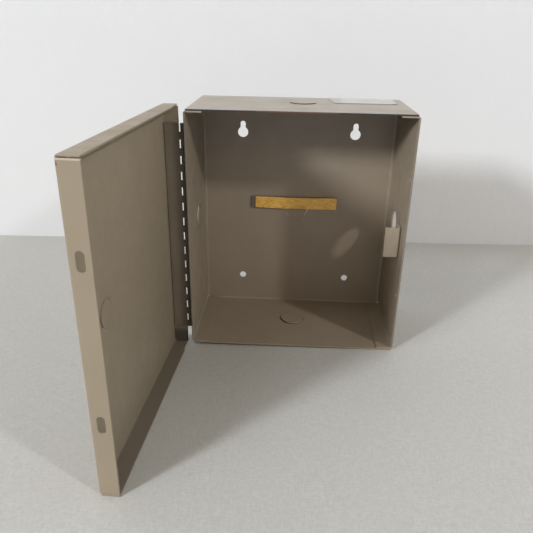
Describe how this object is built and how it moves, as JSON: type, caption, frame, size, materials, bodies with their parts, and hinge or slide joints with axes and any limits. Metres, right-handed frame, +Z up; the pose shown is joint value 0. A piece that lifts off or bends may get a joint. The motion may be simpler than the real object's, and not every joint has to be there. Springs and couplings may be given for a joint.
{
  "type": "wall-mounted electrical enclosure",
  "caption": "Small folded sheet-steel wall enclosure with keyhole hangers, knockouts, an inner latch strike and a tray door on a continuous side hinge.",
  "frame": {"origin": "centre of the back panel's outer face, the face that hangs on the wall", "axes": "+Y out of the back towards the wall, +Z up, the door opens towards -Y"},
  "size_m": [0.2048, 0.2654, 0.2092],
  "materials": {
    "shell_paint": "satin taupe enamel on sheet steel",
    "door_paint": "satin taupe enamel on sheet steel",
    "hinge_paint": "satin taupe enamel, thin over the knuckles",
    "pin_steel": "plain drawn wire",
    "foam": "dark closed-cell mounting foam",
    "kraft_liner": "golden waxed kraft release paper",
    "label_paper": "blank white paper label"
  },
  "bodies": {
    "enclosure": {"box_shell": "shell_paint", "latch_strike": "shell_paint", "hinge_leaf_box": "hinge_paint", "hinge_pin": "pin_steel", "foam_tape": "foam", "tape_liner": "kraft_liner", "paper_label": "label_paper"},
    "door": {"door_tray": "door_paint", "hinge_leaf_door": "hinge_paint"}
  },
  "joints": [
    {"name": "door_hinge", "type": "hinge", "parent": "enclosure", "child": "door", "pos_m": [-0.0908, -0.08425, 0], "axis": [0, 0, 1], "range_deg": [-77, 93]}
  ]
}
